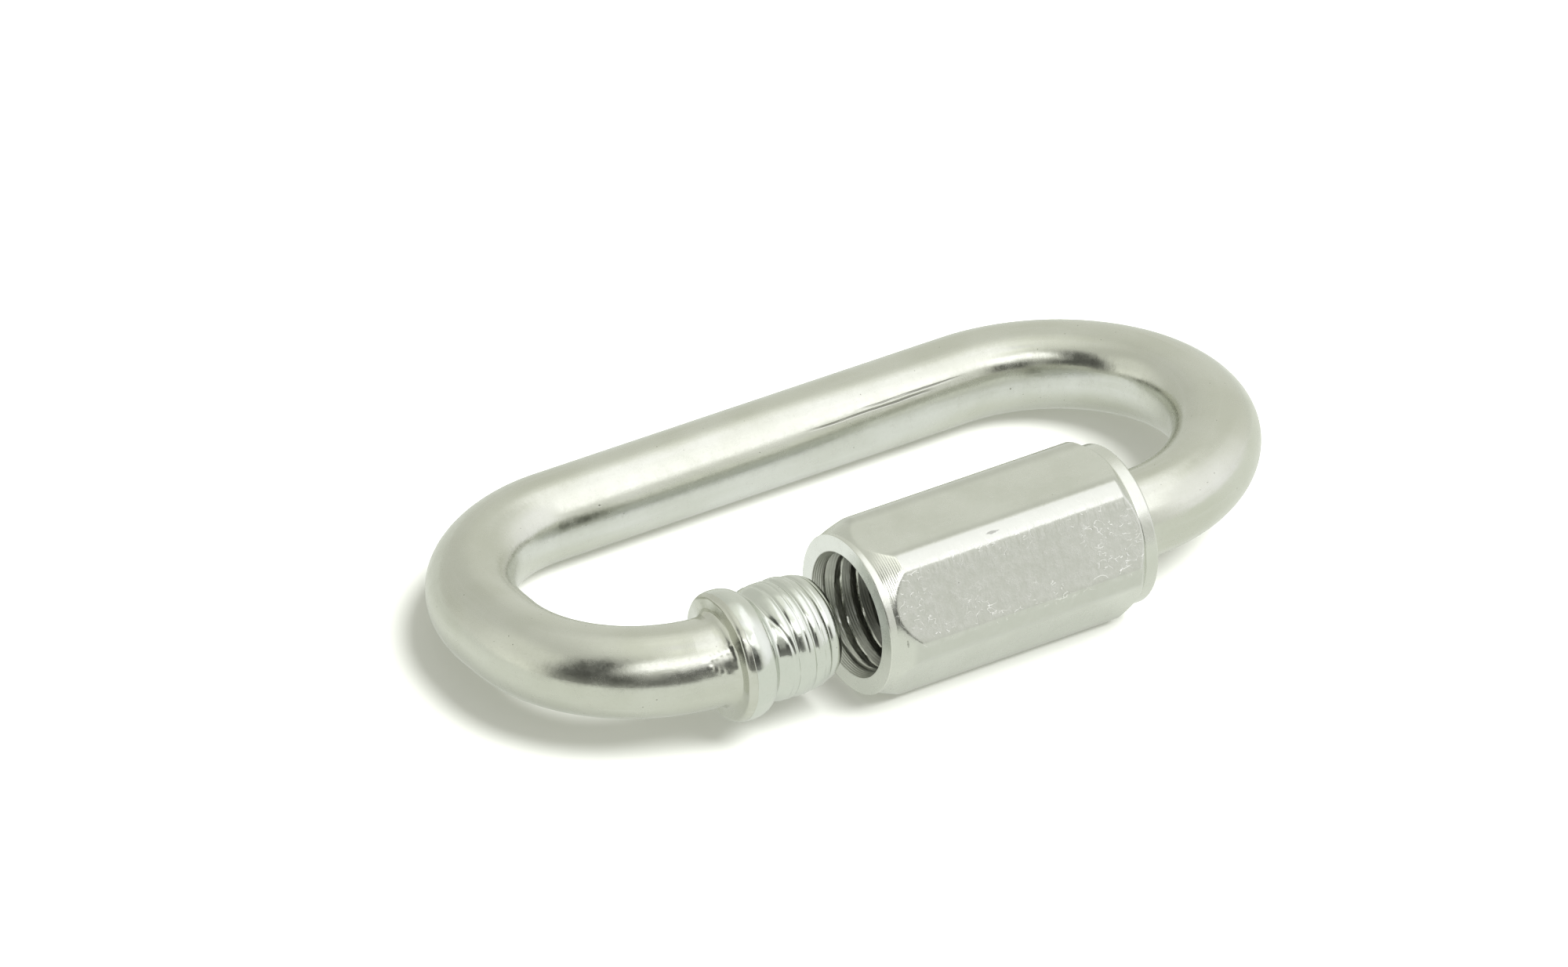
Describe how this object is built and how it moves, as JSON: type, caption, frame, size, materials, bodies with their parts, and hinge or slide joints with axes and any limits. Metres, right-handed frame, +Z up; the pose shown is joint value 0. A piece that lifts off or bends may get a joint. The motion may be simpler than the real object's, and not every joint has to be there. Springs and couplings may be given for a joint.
{
  "type": "chain quick link",
  "caption": "Oval link of bent round bar with a threaded gap in one side and a long hexagon sleeve nut, shown unscrewed, that closes it",
  "frame": {"origin": "bottom centre of the link's box, on the surface that it lies on", "axes": "+X along the link from the stub's bow to the sleeve's bow, also the sleeve's travel; +Y from the sleeve to the plain back arm; +Z up. The link lies on its back arm and on one flat of the sleeve"},
  "size_m": [0.0596, 0.031, 0.011],
  "materials": {
    "bar_zinc": "bright zinc plate on drawn bar, satin",
    "sleeve_zinc": "bright zinc plate, finely marked"
  },
  "bodies": {
    "link": {"link_body": "bar_zinc"},
    "sleeve": {"sleeve_nut": "sleeve_zinc"}
  },
  "joints": [
    {"name": "sleeve_travel", "type": "slide", "parent": "link", "child": "sleeve", "axis": [1, 0, 0], "range_m": [-0.00775, 0.0052]}
  ]
}
